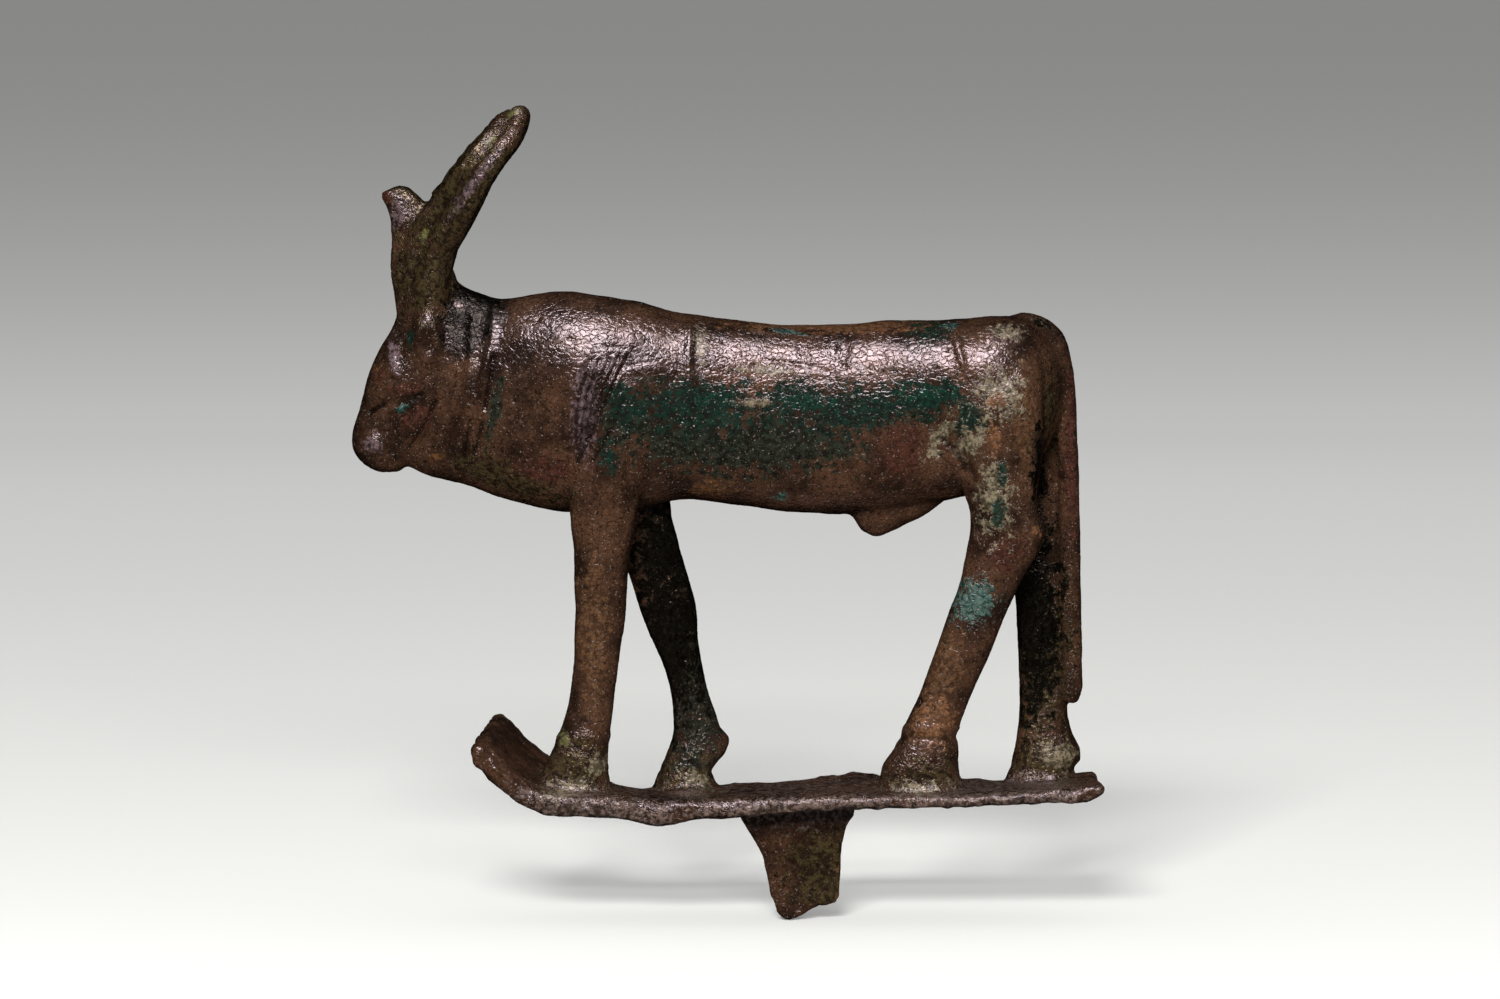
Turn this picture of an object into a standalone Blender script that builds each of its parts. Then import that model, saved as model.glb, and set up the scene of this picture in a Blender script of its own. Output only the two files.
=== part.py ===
"""A small striding bull in cast bronze, with a sun disc, two horns and a cobra on its head.

The bull, its warped base plate and the broken tang under the plate are one casting. Every form
is a loft through a few named stations in millimetres, and the forms are fused into one skin.
The bull faces -X and its left side faces -Y. The origin is the middle of the tang's root.
"""

import math

import bmesh
import bpy
import numpy as np
from mathutils import Matrix

# Driving dimensions, in millimetres
MM = 0.001
BODY_HALF_WIDTH = 8.2
HEAD_HALF_WIDTH = 4.5
LEG_TRACK_HALF = 4.6
LEG_HALF_WIDTH = 2.1
PLATE_HALF_WIDTH = 10.4
TANG_HALF_WIDTH = 2.3
TANG_FACE_Y = -2.1
TANG_CUT_SIZE = (16.0, 2.0, 12.0)
TANG_CUT_MIDDLE_Z = -7.9
HORN_REACH = 6.9
DISC_RADIUS = 6.9
DISC_LEAN = math.radians(40.0)
DISC_CENTRE = (-35.8, 0.0, 71.7)

# How finely the fused skin is made
VOXEL = 0.35
TRIANGLES = 9600
RING_POINTS = 40

# Body, across X: x, top z, bottom z, half width as a share of the body's, flare at the top, squareness
TORSO = (
    (-43.8, 50.0, 40.5, 0.28, 0.00, 2.0),
    (-43.0, 52.5, 38.1, 0.38, 0.00, 2.0),
    (-41.2, 55.4, 37.1, 0.50, 0.00, 2.0),
    (-38.7, 58.7, 36.4, 0.59, -0.08, 2.0),
    (-36.5, 57.7, 35.9, 0.68, -0.08, 2.0),
    (-33.0, 56.5, 34.6, 0.79, 0.00, 2.1),
    (-29.7, 57.0, 33.7, 0.89, 0.04, 2.2),
    (-26.4, 57.3, 33.1, 0.97, 0.05, 2.3),
    (-22.0, 56.9, 33.0, 1.00, 0.04, 2.4),
    (-17.6, 56.1, 33.6, 0.98, 0.02, 2.4),
    (-13.2, 55.0, 34.4, 0.94, 0.00, 2.4),
    (-6.6, 54.2, 33.7, 0.91, 0.00, 2.4),
    (0.0, 53.6, 33.0, 0.91, -0.02, 2.4),
    (5.0, 53.8, 32.8, 0.93, -0.02, 2.4),
    (9.9, 54.1, 33.2, 0.96, 0.00, 2.4),
    (14.3, 54.1, 34.1, 0.98, 0.04, 2.4),
    (18.1, 54.3, 34.8, 1.00, 0.06, 2.4),
    (22.0, 54.7, 35.6, 0.96, 0.08, 2.3),
    (24.8, 54.4, 37.1, 0.84, 0.06, 2.2),
    (26.4, 53.1, 38.8, 0.64, 0.04, 2.1),
    (27.7, 51.2, 40.8, 0.42, 0.00, 2.0),
    (28.6, 48.5, 43.5, 0.20, 0.00, 2.0),
)

# Head, from the poll down to the chin: z, face x, back x, half width as a share of the head's
HEAD = (
    (56.0, -43.6, -37.2, 0.60),
    (54.3, -44.3, -36.3, 0.80),
    (53.0, -45.0, -36.5, 0.90),
    (51.4, -46.0, -36.9, 0.96),
    (49.7, -46.9, -37.4, 0.98),
    (48.0, -47.5, -38.3, 1.00),
    (46.4, -47.9, -39.2, 0.96),
    (44.8, -48.3, -40.0, 0.86),
    (43.1, -48.8, -40.9, 0.76),
    (41.5, -49.2, -41.8, 0.70),
    (40.0, -49.2, -42.6, 0.70),
    (38.7, -48.5, -42.9, 0.60),
    (37.8, -47.3, -43.6, 0.42),
    (37.4, -46.2, -44.0, 0.22),
)

# Crown block between the horns: z, front x, back x, half width
CROWN = (
    (52.0, -43.0, -37.4, 3.4),
    (55.0, -43.4, -36.8, 3.4),
    (57.4, -43.6, -37.2, 3.1),
    (60.5, -43.8, -38.3, 2.9),
    (62.9, -43.6, -38.3, 3.2),
    (65.0, -42.2, -37.8, 3.9),
    (67.0, -40.6, -36.9, 4.6),
    (68.6, -39.2, -36.8, 4.0),
)

# Rearing cobra in front of the disc: z, front x, back x, half width
COBRA = (
    (52.6, -43.6, -40.5, 1.0),
    (54.1, -44.2, -40.5, 1.3),
    (56.3, -44.5, -40.5, 1.6),
    (59.6, -45.0, -40.5, 1.8),
    (62.9, -44.9, -40.5, 1.8),
    (65.7, -45.1, -40.7, 1.6),
    (66.8, -45.5, -41.0, 1.4),
    (67.5, -46.0, -41.5, 1.3),
    (68.2, -45.8, -42.2, 1.1),
    (68.8, -44.7, -43.1, 0.6),
)

# Root of a horn inside the head: x, half gap, z, radius
HORN_ROOT = (
    (-40.6, 2.4, 54.0, 1.8),
    (-40.4, 2.4, 58.0, 1.9),
)

# Horn in the disc's leaning plane, root to tip: height over its middle, reach sideways as a share
# of the widest, distance behind the disc, radius
HORN = (
    (-9.5, 0.40, 3.35, 1.8),
    (-6.75, 0.66, 2.95, 1.65),
    (-4.4, 0.86, 2.5, 1.5),
    (-2.2, 0.97, 2.2, 1.3),
    (0.0, 1.00, 1.95, 1.2),
    (2.8, 0.93, 1.75, 1.15),
    (5.2, 0.70, 1.5, 1.1),
    (6.5, 0.55, 0.95, 1.15),
    (7.2, 0.47, 0.55, 1.15),
    (7.8, 0.42, 0.3, 0.8),
)

# Half of the disc's section, from the middle of its back to the middle of its front:
# share of the radius, distance in front of its middle plane
DISC = (
    (0.50, -1.60),
    (0.90, -1.70),
    (1.00, -1.40),
    (1.02, -0.80),
    (1.00, 0.45),
    (0.96, 0.85),
    (0.84, 1.10),
    (0.50, 1.30),
)

# Ear, from the head outwards and back into its hollow: y, x, z, half length in x, half height
EAR = (
    (2.6, -40.9, 52.6, 1.8, 3.2),
    (3.9, -40.9, 52.3, 1.7, 3.0),
    (4.6, -40.8, 52.0, 1.5, 2.7),
    (5.0, -40.7, 51.8, 1.25, 2.3),
    (5.1, -40.7, 51.7, 1.0, 1.9),
    (4.8, -40.7, 51.8, 0.75, 1.5),
    (4.6, -40.7, 51.9, 0.4, 0.9),
)

# Legs: z, front x, back x, y as a share of the half track, half width as a share of a leg's
NEAR_FORE = (
    (50.0, -23.4, -18.0, 1.22, 0.90),
    (46.0, -24.4, -17.6, 1.22, 1.15),
    (42.0, -24.9, -17.2, 1.20, 1.28),
    (36.7, -25.2, -17.1, 1.14, 1.28),
    (33.4, -25.2, -17.8, 1.08, 1.24),
    (27.9, -24.8, -18.7, 1.02, 1.14),
    (23.5, -24.7, -19.0, 1.00, 1.08),
    (19.1, -24.8, -19.5, 1.00, 1.02),
    (14.7, -25.0, -20.1, 1.00, 1.00),
    (10.9, -25.8, -20.6, 1.00, 1.04),
    (8.1, -26.8, -21.0, 1.00, 1.16),
    (5.9, -27.8, -21.0, 1.00, 1.30),
    (3.9, -28.8, -20.8, 1.00, 1.42),
    (1.4, -29.2, -20.5, 1.00, 1.46),
)
FAR_FORE = (
    (46.0, -22.8, -15.6, 1.20, 1.10),
    (42.0, -23.1, -14.6, 1.16, 1.24),
    (36.3, -22.2, -14.1, 1.10, 1.24),
    (33.0, -21.2, -14.2, 1.05, 1.18),
    (29.7, -20.1, -13.5, 1.00, 1.14),
    (25.3, -18.8, -12.2, 1.00, 1.08),
    (21.4, -17.5, -11.3, 1.00, 1.04),
    (18.7, -16.5, -11.2, 1.00, 1.00),
    (16.1, -15.2, -10.8, 1.00, 0.97),
    (13.4, -14.3, -10.2, 1.00, 0.97),
    (10.8, -14.0, -9.4, 1.00, 1.02),
    (8.8, -14.0, -8.7, 1.00, 1.12),
    (7.4, -14.3, -8.0, 1.00, 1.22),
    (6.2, -14.7, -8.2, 1.00, 1.26),
    (5.0, -15.2, -9.2, 1.00, 1.28),
    (4.0, -15.7, -9.7, 1.00, 1.34),
    (2.2, -16.3, -8.9, 1.00, 1.42),
    (0.8, -16.6, -8.7, 1.00, 1.42),
)
NEAR_HIND = (
    (52.5, 20.0, 25.0, 0.70, 0.80),
    (50.0, 18.2, 26.2, 0.98, 1.15),
    (45.3, 16.3, 26.5, 1.16, 1.45),
    (40.0, 16.5, 26.5, 1.14, 1.42),
    (36.7, 17.4, 26.1, 1.10, 1.34),
    (33.6, 18.5, 25.9, 1.06, 1.26),
    (31.4, 18.5, 27.0, 1.04, 1.20),
    (29.6, 18.3, 26.4, 1.02, 1.16),
    (27.0, 17.8, 24.9, 1.00, 1.10),
    (24.4, 17.1, 23.6, 1.00, 1.06),
    (19.1, 15.1, 21.3, 1.00, 1.00),
    (13.8, 13.2, 19.1, 1.00, 0.98),
    (11.2, 12.1, 18.0, 1.00, 1.02),
    (9.2, 11.1, 17.3, 1.00, 1.12),
    (7.2, 10.2, 17.4, 1.00, 1.26),
    (5.4, 9.0, 17.4, 1.00, 1.38),
    (3.2, 8.6, 17.8, 1.00, 1.46),
    (1.7, 8.6, 17.8, 1.00, 1.46),
)
FAR_HIND = (
    (52.5, 21.0, 25.5, 0.70, 0.80),
    (50.0, 20.4, 26.6, 0.98, 1.15),
    (45.1, 20.4, 28.8, 1.12, 1.36),
    (39.6, 20.9, 29.2, 1.10, 1.30),
    (34.1, 22.6, 29.2, 1.06, 1.16),
    (27.5, 23.4, 29.1, 1.02, 1.06),
    (18.7, 24.1, 29.1, 1.00, 1.00),
    (12.1, 24.3, 29.5, 1.00, 1.00),
    (9.5, 24.2, 29.9, 1.00, 1.12),
    (8.2, 24.0, 30.3, 1.00, 1.18),
    (6.8, 23.8, 31.0, 1.00, 1.26),
    (5.5, 23.5, 31.2, 1.00, 1.32),
    (4.2, 23.1, 30.4, 1.00, 1.38),
    (2.8, 22.6, 30.8, 1.00, 1.42),
    (1.6, 22.4, 30.8, 1.00, 1.42),
)

# Tail, from the rump down behind the far hind leg: x, z, y, radius
TAIL = (
    (22.2, 52.9, 0.0, 1.2),
    (24.4, 53.7, 0.0, 1.35),
    (26.3, 53.2, 0.1, 1.35),
    (27.9, 51.9, 0.3, 1.3),
    (28.7, 49.6, 0.6, 1.25),
    (29.2, 45.3, 1.0, 1.2),
    (29.5, 39.8, 1.5, 1.15),
    (29.75, 32.1, 2.2, 1.15),
    (29.9, 23.3, 2.7, 1.2),
    (30.0, 16.5, 2.9, 1.2),
    (29.95, 12.9, 2.9, 1.2),
    (29.7, 11.8, 2.9, 0.9),
)

# Sheath under the belly: x, top z, bottom z, half width
SHEATH = (
    (5.8, 34.6, 32.4, 1.2),
    (6.9, 35.0, 30.8, 1.8),
    (8.2, 35.0, 30.2, 2.1),
    (9.9, 35.0, 30.8, 2.2),
    (11.6, 35.5, 31.6, 2.2),
    (13.4, 36.0, 32.5, 2.0),
    (15.4, 36.5, 33.9, 1.5),
)

# Base plate along its two long edges, mid-thickness: near x, near z, far x, far z, thickness
PLATE = (
    (-35.3, 8.2, -33.5, 10.0, 1.4),
    (-35.1, 7.4, -33.2, 9.2, 2.3),
    (-33.5, 5.3, -31.9, 7.6, 2.5),
    (-31.9, 3.7, -30.4, 6.1, 2.6),
    (-30.2, 2.5, -28.8, 4.8, 2.7),
    (-27.6, 1.6, -26.4, 3.2, 2.8),
    (-23.0, 1.4, -22.6, 1.7, 2.9),
    (-19.0, 1.2, -19.0, 0.6, 2.8),
    (-15.4, 0.7, -15.4, 0.2, 3.4),
    (-12.0, 1.0, -12.0, 0.8, 2.7),
    (-7.0, 1.2, -7.0, 1.2, 2.5),
    (0.0, 1.6, 0.0, 1.8, 2.0),
    (6.0, 1.8, 6.0, 2.6, 1.9),
    (12.0, 1.85, 12.0, 2.2, 1.7),
    (20.0, 2.1, 20.0, 1.9, 1.7),
    (27.0, 2.5, 27.0, 2.1, 1.8),
    (31.8, 2.9, 31.6, 2.7, 1.8),
    (33.0, 3.4, 32.9, 3.2, 1.1),
)

# Broken tang under the plate, its outline seen from the side: x, z
TANG = (
    (-6.8, 1.2),
    (-6.5, -0.7),
    (-5.6, -2.2),
    (-4.8, -3.5),
    (-4.0, -5.0),
    (-3.5, -7.5),
    (-2.9, -10.1),
    (-2.1, -11.6),
    (-1.4, -11.9),
    (0.1, -11.2),
    (1.9, -10.3),
    (4.1, -10.0),
    (4.3, -9.1),
    (4.4, -7.5),
    (4.6, -3.5),
    (5.1, -1.4),
    (6.0, -0.4),
    (6.2, 1.4),
)

# Swellings and hollows of the body, on both sides: x, z, radius, height
MUSCLES = (
    (-21.4, 46.0, 4.6, 0.55),
    (-21.0, 39.0, 3.6, 0.25),
    (-27.6, 43.0, 2.6, -0.35),
    (-14.6, 41.0, 2.6, -0.35),
    (21.6, 45.6, 4.6, 0.45),
    (14.4, 41.6, 3.0, -0.50),
    (-36.6, 53.6, 2.0, -0.50),
    (-46.8, 41.0, 1.7, 0.35),
    (-43.4, 43.6, 1.6, 0.20),
    (-19.0, 41.6, 1.0, 0.30),
    (26.0, 31.2, 1.2, 0.25),
)

# Carving, on both sides: half width and height of the stroke, then its points (x, z).
# A groove has a height below 0.
STROKES = {
    "collar, back edge": (0.40, 0.30, (-33.4, 55.6), (-34.0, 50.3), (-34.8, 44.5), (-36.2, 36.4)),
    "collar, front edge": (0.40, 0.26, (-36.0, 55.0), (-36.1, 50.0), (-36.4, 43.0), (-38.0, 36.6)),
    "saddle cloth, front edge": (0.45, 0.26, (-12.1, 54.6), (-12.2, 50.0), (-12.0, 45.8)),
    "saddle cloth, fold": (0.40, -0.22, (4.8, 53.8), (4.9, 51.0), (4.8, 48.8)),
    "saddle cloth, back edge": (0.45, 0.26, (16.3, 54.2), (17.0, 52.0), (17.7, 49.4)),
    "wing, back edge": (0.45, -0.26, (-18.7, 49.8), (-19.8, 45.6), (-21.4, 41.8), (-23.2, 38.8)),
    "jaw": (0.50, -0.32, (-39.8, 45.6), (-41.2, 43.0), (-42.7, 40.4)),
    "brow": (0.80, 0.25, (-46.8, 46.2), (-45.2, 46.9), (-43.4, 46.9)),
    "eye": (0.35, -0.30, (-47.1, 44.1), (-45.5, 45.0)),
    "mouth": (0.35, -0.20, (-47.4, 39.3), (-45.6, 39.6), (-43.9, 40.6)),
    "thigh, front crease": (0.80, -0.40, (17.2, 41.6), (17.8, 38.4), (18.4, 35.8)),
}

# Finish of the metal
BRONZE_COLOUR = (0.060, 0.034, 0.025, 1.0)
BRONZE_ROUGHNESS = 0.42
BRONZE_METALLIC = 0.75


def clear_scene():
    """Remove whatever the scene holds."""
    for item in list(bpy.data.objects):
        bpy.data.objects.remove(item, do_unlink=True)


def smooth_rows(rows, steps=5):
    """Rows read from a smooth curve through the given stations."""
    table = np.array(rows, dtype=float)
    spans = np.linalg.norm(np.diff(table[:, :3], axis=0), axis=1)
    along = np.concatenate(([0.0], np.cumsum(spans)))
    slopes = np.gradient(table, along, axis=0)
    result = []
    for index, span in enumerate(spans):
        for step in range(steps):
            t = step / steps
            result.append(
                table[index] * (2 * t**3 - 3 * t**2 + 1)
                + slopes[index] * span * (t**3 - 2 * t**2 + t)
                + table[index + 1] * (3 * t**2 - 2 * t**3)
                + slopes[index + 1] * span * (t**3 - t**2)
            )
    result.append(table[-1])
    return result


def oval(power):
    """Unit superellipse: two arrays, both from -1 to 1. Power 2 is a circle."""
    turn = np.linspace(0.0, 2.0 * math.pi, RING_POINTS, endpoint=False)
    across = np.sign(np.cos(turn)) * np.abs(np.cos(turn)) ** (2.0 / power)
    up = np.sign(np.sin(turn)) * np.abs(np.sin(turn)) ** (2.0 / power)
    return across, up


def ring_across_x(x, top, bottom, half_width, flare, power):
    """Section at one x, wider at the top by the flare."""
    across, up = oval(power)
    y = half_width * across * (1.0 + flare * up)
    z = (top + bottom) / 2.0 + (top - bottom) / 2.0 * up
    return np.column_stack((np.full(RING_POINTS, x), y, z))


def ring_across_z(z, front, back, y, half_width, power):
    """Level section between a front and a back x."""
    along, across = oval(power)
    x = (front + back) / 2.0 + (back - front) / 2.0 * along
    return np.column_stack((x, y + half_width * across, np.full(RING_POINTS, z)))


def rings_along(path, radii):
    """Round sections square to a path of (x, y, z) points."""
    across, up = oval(2.0)
    tangents = np.gradient(path, axis=0)
    rings = []
    for point, tangent, radius in zip(path, tangents, radii):
        tangent = tangent / np.linalg.norm(tangent)
        guide = (1.0, 0.0, 0.0) if abs(tangent[0]) < 0.8 else (0.0, 1.0, 0.0)
        side = np.cross(tangent, guide)
        side = side / np.linalg.norm(side)
        rise = np.cross(tangent, side)
        rings.append(point + radius * (np.outer(across, side) + np.outer(up, rise)))
    return rings


def loft(name, rings):
    """Closed skin through rings of equal point counts, with a fan at each end."""
    shape = bmesh.new()
    layers = [[shape.verts.new(point) for point in ring] for ring in rings]
    count = len(layers[0])
    for lower, upper in zip(layers, layers[1:]):
        for index in range(count):
            after = (index + 1) % count
            shape.faces.new((lower[index], lower[after], upper[after], upper[index]))
    for ring, layer in ((rings[0], layers[0]), (rings[-1], layers[-1])):
        middle = shape.verts.new(np.mean(ring, axis=0))
        for index in range(count):
            shape.faces.new((layer[index], layer[(index + 1) % count], middle))
    bmesh.ops.recalc_face_normals(shape, faces=shape.faces)
    mesh = bpy.data.meshes.new(name)
    shape.to_mesh(mesh)
    shape.free()
    return mesh


def torso():
    rings = []
    for x, top, bottom, share, flare, power in smooth_rows(TORSO):
        rings.append(ring_across_x(x, top, bottom, share * BODY_HALF_WIDTH, flare, power))
    return loft("torso", rings)


def head():
    rings = []
    for z, front, back, share in smooth_rows(HEAD):
        rings.append(ring_across_z(z, front, back, 0.0, share * HEAD_HALF_WIDTH, 2.3))
    return loft("head", rings)


def upright(name, rows, power):
    """Form on the centre line made of level sections."""
    rings = []
    for z, front, back, half in smooth_rows(rows):
        rings.append(ring_across_z(z, front, back, 0.0, half, power))
    return loft(name, rings)


def leg(name, rows, side):
    rings = []
    for z, front, back, track, share in smooth_rows(rows):
        y = side * track * LEG_TRACK_HALF
        rings.append(ring_across_z(z, front, back, y, share * LEG_HALF_WIDTH, 2.2))
    return loft(name, rings)


def crown_point(height, y, forward):
    """Point in the leaning frame of the disc: up its face, sideways, and out in front of it."""
    up = np.array((math.sin(DISC_LEAN), 0.0, math.cos(DISC_LEAN)))
    out = np.array((-math.cos(DISC_LEAN), 0.0, math.sin(DISC_LEAN)))
    return np.array(DISC_CENTRE) + height * up + forward * out + np.array((0.0, y, 0.0))


def horn(side):
    """Horn that rises from the crown's side and runs round the disc's edge."""
    table = np.array(smooth_rows(HORN))
    path = [np.array((x, side * gap, z)) for x, gap, z, _radius in HORN_ROOT]
    for height, reach, behind, _radius in table:
        path.append(crown_point(height, side * reach * HORN_REACH, -behind))
    radii = np.concatenate(([row[3] for row in HORN_ROOT], table[:, 3]))
    return loft("horn", rings_along(np.array(path), radii))


def ear(side):
    across, up = oval(2.0)
    rings = []
    for y, x, z, half_length, half_height in EAR:
        beside = np.full(RING_POINTS, side * y)
        rings.append(np.column_stack((x + half_length * across, beside, z + half_height * up)))
    return loft("ear", rings)


def sun_disc():
    """Round disc, thicker in the middle, leaning back."""
    across, up = oval(2.0)
    rings = []
    for share, forward in DISC:
        radius = share * DISC_RADIUS
        ring = [crown_point(radius * v, radius * u, forward) for u, v in zip(across, up)]
        rings.append(np.array(ring))
    return loft("sun disc", rings)


def tail():
    table = np.array(smooth_rows(TAIL))
    path = np.column_stack((table[:, 0], table[:, 2], table[:, 1]))
    return loft("tail", rings_along(path, table[:, 3]))


def sheath():
    rings = []
    for x, top, bottom, half in smooth_rows(SHEATH):
        rings.append(ring_across_x(x, top, bottom, half, 0.0, 2.0))
    return loft("sheath", rings)


def plate():
    """Thin plate that curls up at the front, with its far corner the higher one."""
    across, up = oval(5.0)
    rows = np.array(smooth_rows(PLATE))
    near = rows[:, (0, 1)]
    far = rows[:, (2, 3)]
    rings = []
    for index, slope in enumerate(np.gradient((near + far) / 2.0, axis=0)):
        slope = slope / np.linalg.norm(slope)
        share = ((across + 1.0) / 2.0)[:, None]
        middle = near[index] * (1.0 - share) + far[index] * share
        lift = rows[index, 4] / 2.0 * up
        x = middle[:, 0] - slope[1] * lift
        z = middle[:, 1] + slope[0] * lift
        rings.append(np.column_stack((x, PLATE_HALF_WIDTH * across, z)))
    return loft("plate", rings)


def tang():
    outline = np.array(TANG)
    rings = []
    for share, inset in ((-1.0, 0.94), (-0.86, 1.0), (0.86, 1.0), (1.0, 0.94)):
        y = np.full(len(outline), share * TANG_HALF_WIDTH)
        rings.append(np.column_stack((inset * outline[:, 0], y, outline[:, 1])))
    return loft("tang", rings)


def all_forms():
    return [
        torso(),
        head(),
        upright("crown", CROWN, 2.6),
        upright("cobra", COBRA, 2.2),
        sun_disc(),
        horn(-1),
        horn(1),
        ear(-1),
        ear(1),
        leg("near fore leg", NEAR_FORE, -1),
        leg("far fore leg", FAR_FORE, 1),
        leg("near hind leg", NEAR_HIND, -1),
        leg("far hind leg", FAR_HIND, 1),
        tail(),
        sheath(),
        plate(),
        tang(),
    ]


def fused(forms, collection):
    """One object whose skin wraps all the forms."""
    shape = bmesh.new()
    for form in forms:
        shape.from_mesh(form)
        bpy.data.meshes.remove(form)
    mesh = bpy.data.meshes.new("fused forms")
    shape.to_mesh(mesh)
    shape.free()
    rough = bpy.data.objects.new("fused forms", mesh)
    collection.objects.link(rough)
    remesh = rough.modifiers.new("one skin", "REMESH")
    remesh.mode = "VOXEL"
    remesh.voxel_size = VOXEL
    soften = rough.modifiers.new("soft cast edges", "SMOOTH")
    soften.factor = 0.5
    soften.iterations = 3
    return rough


def evaluated_mesh(item):
    """The object's mesh with its modifiers applied."""
    graph = bpy.context.evaluated_depsgraph_get()
    return bpy.data.meshes.new_from_object(item.evaluated_get(graph))


def distance_to_path(x, z, path):
    """Distance in the side view from every point to a line through the path's points."""
    nearest = np.full(len(x), np.inf)
    for (x0, z0), (x1, z1) in zip(path, path[1:]):
        length = math.hypot(x1 - x0, z1 - z0)
        share = ((x - x0) * (x1 - x0) + (z - z0) * (z1 - z0)) / length**2
        share = np.clip(share, 0.0, 1.0)
        away = np.hypot(x - x0 - share * (x1 - x0), z - z0 - share * (z1 - z0))
        nearest = np.minimum(nearest, away)
    return nearest


def carve(mesh):
    """Swell and hollow both sides of the skin, then press the carved strokes into them."""
    count = len(mesh.vertices)
    points = np.empty(count * 3)
    normals = np.empty(count * 3)
    mesh.vertices.foreach_get("co", points)
    mesh.vertices.foreach_get("normal", normals)
    points = points.reshape(-1, 3)
    normals = normals.reshape(-1, 3)
    facing_aside = np.clip(np.abs(normals[:, 1]) * 1.6, 0.0, 1.0)
    push = np.zeros(count)
    for x, z, radius, height in MUSCLES:
        away = np.hypot(points[:, 0] - x, points[:, 2] - z)
        push += height * np.exp(-((away / radius) ** 2))
    for half_width, height, *path in STROKES.values():
        away = distance_to_path(points[:, 0], points[:, 2], path)
        push += height * np.exp(-((away / half_width) ** 2))
    points = points + normals * (push * facing_aside)[:, None]
    mesh.vertices.foreach_set("co", points.ravel())
    mesh.update()


def thin_out(item):
    """Fewer triangles, where the skin is plain."""
    thinner = item.modifiers.new("fewer triangles", "DECIMATE")
    thinner.ratio = TRIANGLES / (2.0 * len(item.data.polygons))
    thinner.use_collapse_triangulate = True


def flat_tang_face(item, cutters):
    """Trim the tang's near side to the true plane that a socket would bear on."""
    bpy.ops.mesh.primitive_cube_add(size=1.0)
    cutter = bpy.context.active_object
    cutter.name = "tang face cutter"
    size_x, size_y, size_z = TANG_CUT_SIZE
    cutter.data.transform(Matrix.Diagonal((size_x * MM, size_y * MM, size_z * MM, 1.0)))
    cutter.location = (0.0, (TANG_FACE_Y - size_y / 2.0) * MM, TANG_CUT_MIDDLE_Z * MM)
    cutter.hide_render = True
    cutter.display_type = "WIRE"
    for owner in list(cutter.users_collection):
        owner.objects.unlink(cutter)
    cutters.objects.link(cutter)
    trim = item.modifiers.new("flat tang face", "BOOLEAN")
    trim.operation = "DIFFERENCE"
    trim.solver = "EXACT"
    trim.object = cutter


def bronze():
    """Dark reddish-brown patinated bronze."""
    material = bpy.data.materials.new("patinated bronze")
    material.use_nodes = True
    shader = material.node_tree.nodes["Principled BSDF"]
    shader.inputs["Base Color"].default_value = BRONZE_COLOUR
    shader.inputs["Roughness"].default_value = BRONZE_ROUGHNESS
    shader.inputs["Metallic"].default_value = BRONZE_METALLIC
    return material


def main():
    clear_scene()
    parts = bpy.data.collections.new("apis bull figure")
    cutters = bpy.data.collections.new("cutters")
    bpy.context.scene.collection.children.link(parts)
    bpy.context.scene.collection.children.link(cutters)

    rough = fused(all_forms(), cutters)
    mesh = evaluated_mesh(rough)
    bpy.data.objects.remove(rough, do_unlink=True)
    carve(mesh)
    mesh.transform(Matrix.Scale(MM, 4))
    mesh.name = "apis_bull"
    mesh.materials.clear()
    mesh.materials.append(bronze())
    mesh.shade_smooth()

    bull = bpy.data.objects.new("apis_bull", mesh)
    parts.objects.link(bull)
    thin_out(bull)
    flat_tang_face(bull, cutters)


main()
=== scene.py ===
"""Looks of a small cast bronze Apis bull: rough cast skin, carved dress and patina.

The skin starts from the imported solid, is made fine enough for carving, and is then swollen, cut and
pitted. Sizes are in millimetres until the skin goes back into the scene's metres, unless a comment says
otherwise. The bull faces -X, and its left side, which the photograph shows, faces -Y.
"""

import math

import bpy
import numpy as np
from mathutils import Matrix, Vector, noise


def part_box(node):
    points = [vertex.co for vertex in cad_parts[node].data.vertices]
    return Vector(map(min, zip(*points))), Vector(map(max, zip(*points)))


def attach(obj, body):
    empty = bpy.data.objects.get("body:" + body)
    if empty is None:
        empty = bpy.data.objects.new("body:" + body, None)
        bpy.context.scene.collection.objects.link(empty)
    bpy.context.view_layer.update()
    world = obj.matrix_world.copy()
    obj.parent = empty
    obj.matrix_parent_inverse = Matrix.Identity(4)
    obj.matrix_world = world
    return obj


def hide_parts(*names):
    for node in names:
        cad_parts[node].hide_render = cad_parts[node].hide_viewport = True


MM = 0.001
NEAR, BOTH, FAR = -1, 0, 1

# Fineness of the skin
VOXEL = 0.22
TRIANGLES = 190000
RELAX_PASSES = 16
RELAX_IN = 0.55
RELAX_OUT = -0.57

# Camera and stage, in metres
AIM = Vector((-0.0055, 0.0, 0.0344))
CAMERA_DISTANCE = 0.9
CAMERA_RISE = math.radians(3.0)
MM_PER_PIXEL = 0.11
IMAGE_WIDTH = 1500
SENSOR = 36.0
STAGE_RADIUS = 1.6
STAGE_BEND = 0.35
STAGE_HEIGHT = 0.9
STAGE_TURNS = 96

# Paint of the backdrop, near the bull and far from it, and the distances where one fades into the other
STAGE_GREY = (0.86, 0.86, 0.83)
STAGE_FAR_GREY = (0.28, 0.28, 0.27)
STAGE_FADE = (0.3, 1.3)

# Glow of the backdrop: on the floor, up to the wall, and at the top of the wall. It rises between the
# first two distances along the surface from the middle, and fades between the last two, in metres.
GLOW_FLOOR = 0.20
GLOW_WALL = 0.40
GLOW_TOP = 0.08
GLOW_RISE = (0.3, 1.1)
GLOW_FADE = (1.25, 1.55)

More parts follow.
